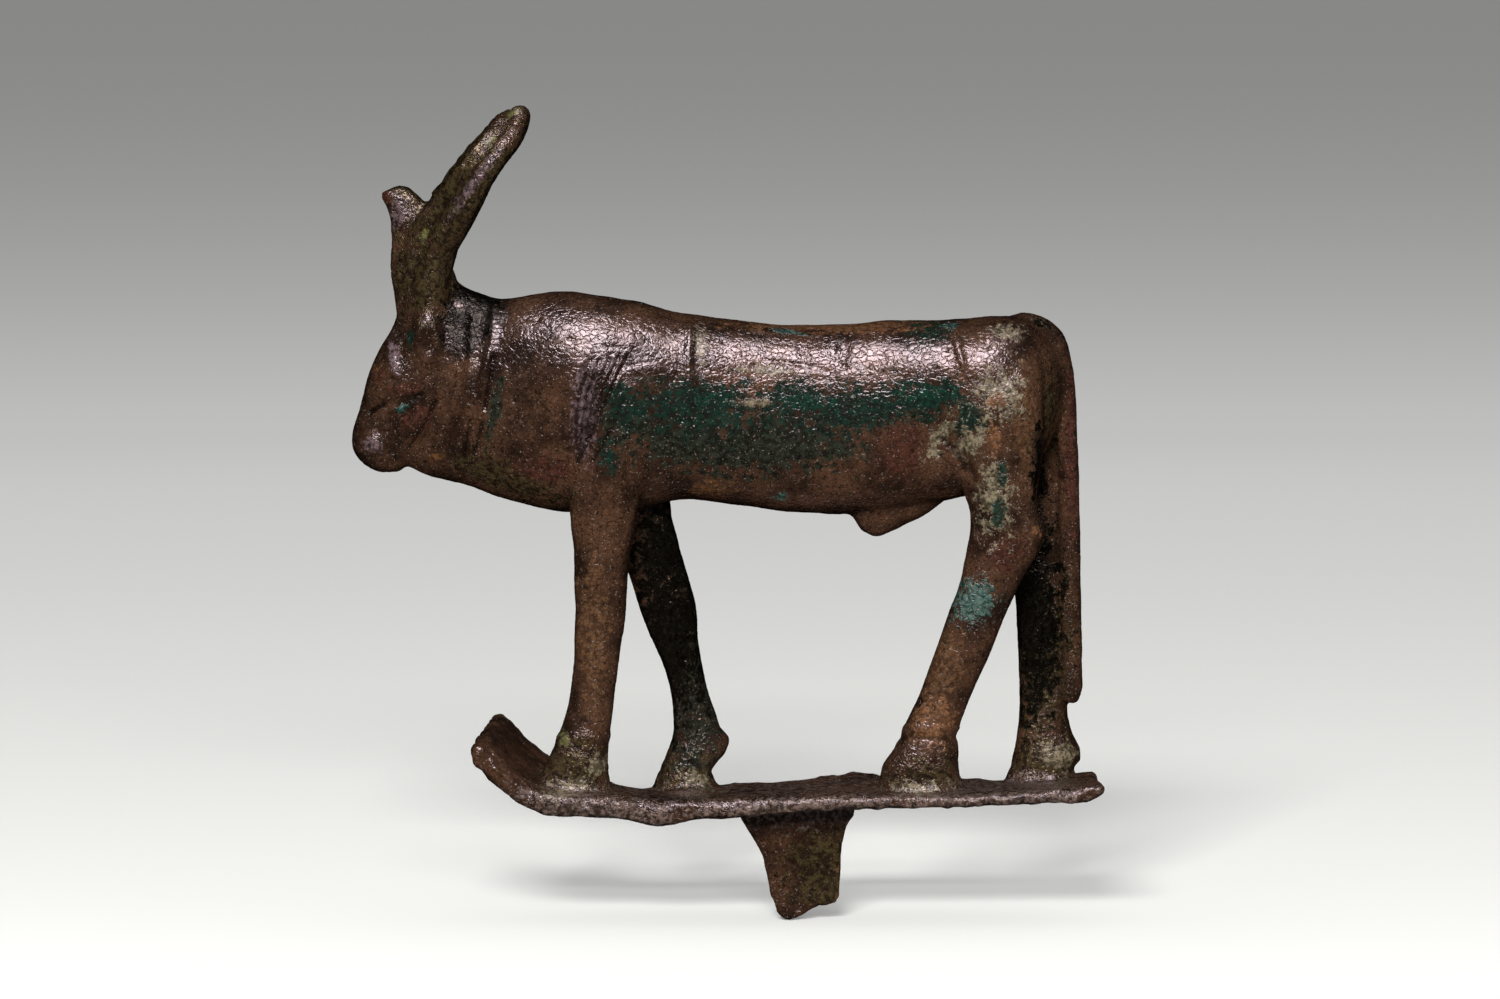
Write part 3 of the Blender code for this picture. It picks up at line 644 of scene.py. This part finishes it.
def bronze():
    """Dark reddish-brown bronze, half gloss, with patches of corrosion and of painted shade, shadow and
    highlight; hollows and grooves are darkened as painted shade.
    """
    nodes = Nodes("patinated_bronze")
    broad = nodes.grain(5.0, 3.0)
    medium = nodes.grain(1.1, 4.0)
    fine = nodes.grain(0.35, 3.0)
    warmth = nodes.step(nodes.math("ADD", broad, nodes.math("MULTIPLY", medium, 0.5)), 0.55, 0.95)
    colour = nodes.mix(warmth, BASE_DARK, BASE_WARM)
    colour = nodes.mix(nodes.step(fine, 0.55, 0.68, 0.0, 0.7), colour, BASE_SPECK_AND_SHADE)
    rough = nodes.step(medium, 0.3, 0.7, *SKIN_ROUGHNESS)
    raised = 0.0
    metallic = SKIN_METALLIC
    mottle = nodes.step(nodes.grain(0.6, 3.0), 0.40, 0.60)
    for name, (first, second, ragged, speckle, roughness) in LAYERS.items():
        field = nodes.painted(name)
        ragged_edge = nodes.math("MULTIPLY", nodes.math("SUBTRACT", medium, 0.5), ragged)
        speckled = nodes.math("MULTIPLY", nodes.math("SUBTRACT", fine, 0.5), speckle)
        value = nodes.math("ADD", field, nodes.math("ADD", ragged_edge, speckled))
        mask = nodes.step(value, 0.0, 0.45)
        shade = nodes.mix(mottle, first, second)
        colour = nodes.mix(mask, colour, shade)
        rough = nodes.blend(mask, rough, roughness)
        if name in GRAINY:
            raised = nodes.math("MAXIMUM", raised, mask)
        metallic = nodes.blend(mask, metallic, DIMMED.get(name, PATCH_METALLIC))
    # Hollows, where the skin is least pointed, are darkened: painted shade.
    sharpness = nodes.add("ShaderNodeNewGeometry").outputs["Pointiness"]
    colour = nodes.mix(nodes.step(sharpness, 0.44, 0.50, 0.7, 0.0), colour, BASE_SPECK_AND_SHADE)
    # Carved grooves are darkened by their depth: painted shade in the cuts.
    groove = nodes.step(nodes.painted("carved"), -0.22, -0.04, 1.0, 0.0)
    colour = nodes.mix(nodes.math("MULTIPLY", groove, 0.6), colour, BASE_SPECK_AND_SHADE)
    dots = nodes.grain(DOT_SIZE, 1.0)
    colour = nodes.mix(nodes.step(dots, 0.66, 0.74, 0.0, 0.6), colour, BASE_LIGHT)
    colour = nodes.mix(nodes.step(dots, 0.26, 0.38, 0.8, 0.0), colour, BASE_SPECK_AND_SHADE)
    cell = nodes.edges(CRACK_SIZE, CRACK_WANDER, CRACK_STRETCH)
    crack = nodes.step(cell, 0.0, 0.10, 1.0, 0.0)
    crack = nodes.math("MULTIPLY", crack, nodes.step(medium, 0.40, 0.62, 0.15, 0.7))
    colour = nodes.mix(crack, colour, BASE_SPECK_AND_SHADE)
    height = nodes.math("MULTIPLY", fine, nodes.math("MULTIPLY_ADD", raised, CRUST_GRAIN, SKIN_GRAIN))
    plates = nodes.step(cell, 0.0, 0.20, 0.0, CRACK_DEPTH, kind="LINEAR")
    normal = nodes.bump(nodes.math("ADD", height, plates))
    nodes.feed(nodes.shader.inputs["Base Color"], colour)
    nodes.feed(nodes.shader.inputs["Roughness"], rough)
    nodes.feed(nodes.shader.inputs["Normal"], normal)
    nodes.feed(nodes.shader.inputs["Metallic"], metallic)
    nodes.shader.inputs["IOR"].default_value = SKIN_IOR
    nodes.shader.inputs["Specular Tint"].default_value = SKIN_TINT
    return nodes.material


def stage_profile():
    """Section of the stage, from its middle outwards and up: radius, height."""
    bend_start = STAGE_RADIUS - STAGE_BEND
    profile = [(bend_start * share, 0.0) for share in np.linspace(0.0, 1.0, 16)[1:]]
    for turn in np.radians(np.linspace(5.0, 90.0, 18)):
        profile.append((bend_start + STAGE_BEND * math.sin(turn), STAGE_BEND * (1.0 - math.cos(turn))))
    profile.append((STAGE_RADIUS, STAGE_HEIGHT))
    return profile


def backdrop():
    """Pale floor that rises into a wall all round, darker with the distance along its surface."""
    floor_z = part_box("apis_bull")[0].z
    verts = [(0.0, 0.0, floor_z)]
    reaches = [0.0]
    faces = []
    previous = (0.0, 0.0)
    for ring, (radius, height) in enumerate(stage_profile()):
        reach = reaches[-1] + math.dist(previous, (radius, height))
        previous = (radius, height)
        for index in range(STAGE_TURNS):
            turn = 2.0 * math.pi * index / STAGE_TURNS
            after = (index + 1) % STAGE_TURNS
            verts.append((radius * math.cos(turn), radius * math.sin(turn), floor_z + height))
            reaches.append(reach)
            outer = 1 + ring * STAGE_TURNS
            inner = outer - STAGE_TURNS
            if ring == 0:
                faces.append((0, outer + index, outer + after))
            else:
                faces.append((inner + index, outer + index, outer + after, inner + after))
    mesh = bpy.data.meshes.new("backdrop")
    mesh.from_pydata(verts, [], faces)
    mesh.shade_smooth()
    store(mesh, "reach", np.array(reaches))
    item = bpy.data.objects.new("backdrop", mesh)
    bpy.context.scene.collection.objects.link(item)
    nodes = Nodes("pale_backdrop")
    reach = nodes.painted("reach")
    glow = nodes.blend(nodes.step(reach, *GLOW_RISE), GLOW_FLOOR, GLOW_WALL)
    glow = nodes.blend(nodes.step(reach, *GLOW_FADE), glow, GLOW_TOP)
    shade = nodes.mix(nodes.step(reach, *STAGE_FADE), STAGE_GREY, STAGE_FAR_GREY)
    nodes.feed(nodes.shader.inputs["Base Color"], shade)
    nodes.shader.inputs["Emission Color"].default_value = (1.0, 1.0, 1.0, 1.0)
    nodes.feed(nodes.shader.inputs["Emission Strength"], glow)
    nodes.shader.inputs["Roughness"].default_value = 0.9
    nodes.shader.inputs["Specular IOR Level"].default_value = 0.0
    mesh.materials.append(nodes.material)
    item.visible_diffuse = False
    item.visible_glossy = False


def soft_light(name, location, width, depth, power, mirrored=False):
    """Area light turned to the bull. It lights by reflections only, or not by them."""
    data = bpy.data.lights.new(name, "AREA")
    data.shape = "RECTANGLE"
    data.size = width
    data.size_y = depth
    data.energy = power
    lamp = bpy.data.objects.new(name, data)
    lamp.location = location
    lamp.rotation_euler = (AIM - Vector(location)).to_track_quat("-Z", "Y").to_euler()
    lamp.visible_glossy = mirrored
    lamp.visible_diffuse = not mirrored
    bpy.context.scene.collection.objects.link(lamp)
    return lamp


def back_light(piece):
    """Weaker light on the far side. It reaches the bull alone, so the floor's shadows stay as they are."""
    lit = bpy.data.collections.new("lit_from_behind")
    lit.objects.link(piece)
    lamp = soft_light("back", *BACK_LIGHT)
    lamp.light_linking.receiver_collection = lit


def lights():
    soft_light("key", *KEY_LIGHT, mirrored=True)
    for name, settings in FILL_LIGHTS.items():
        soft_light(name, *settings)
    world = bpy.data.worlds.new("studio")
    world.use_nodes = True
    shade = world.node_tree.nodes["Background"]
    shade.inputs["Color"].default_value = (1.0, 1.0, 1.0, 1.0)
    shade.inputs["Strength"].default_value = WORLD_LIGHT
    world.cycles_visibility.glossy = False
    bpy.context.scene.world = world


def camera():
    data = bpy.data.cameras.new("camera")
    data.sensor_width = SENSOR
    data.lens = CAMERA_DISTANCE / (MM_PER_PIXEL * MM) / IMAGE_WIDTH * SENSOR
    data.clip_start = 0.01
    data.clip_end = 20.0
    item = bpy.data.objects.new("camera", data)
    back = Vector((0.0, -math.cos(CAMERA_RISE), math.sin(CAMERA_RISE)))
    item.location = AIM + back * CAMERA_DISTANCE
    item.rotation_euler = (-back).to_track_quat("-Z", "Y").to_euler()
    bpy.context.scene.collection.objects.link(item)
    bpy.context.scene.camera = item


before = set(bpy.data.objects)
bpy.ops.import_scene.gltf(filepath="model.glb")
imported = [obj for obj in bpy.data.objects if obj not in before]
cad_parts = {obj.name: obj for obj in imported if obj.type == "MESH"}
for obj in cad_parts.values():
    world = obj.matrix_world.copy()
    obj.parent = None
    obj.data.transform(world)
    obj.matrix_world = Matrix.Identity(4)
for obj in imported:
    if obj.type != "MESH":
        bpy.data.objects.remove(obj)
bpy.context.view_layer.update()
camera()
lights()
backdrop()
bpy.context.scene.view_settings.view_transform = "Standard"

bull = cast_skin(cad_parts["apis_bull"])
bull.data.materials.append(bronze())
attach(bull, "root")
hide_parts("apis_bull")
back_light(bull)
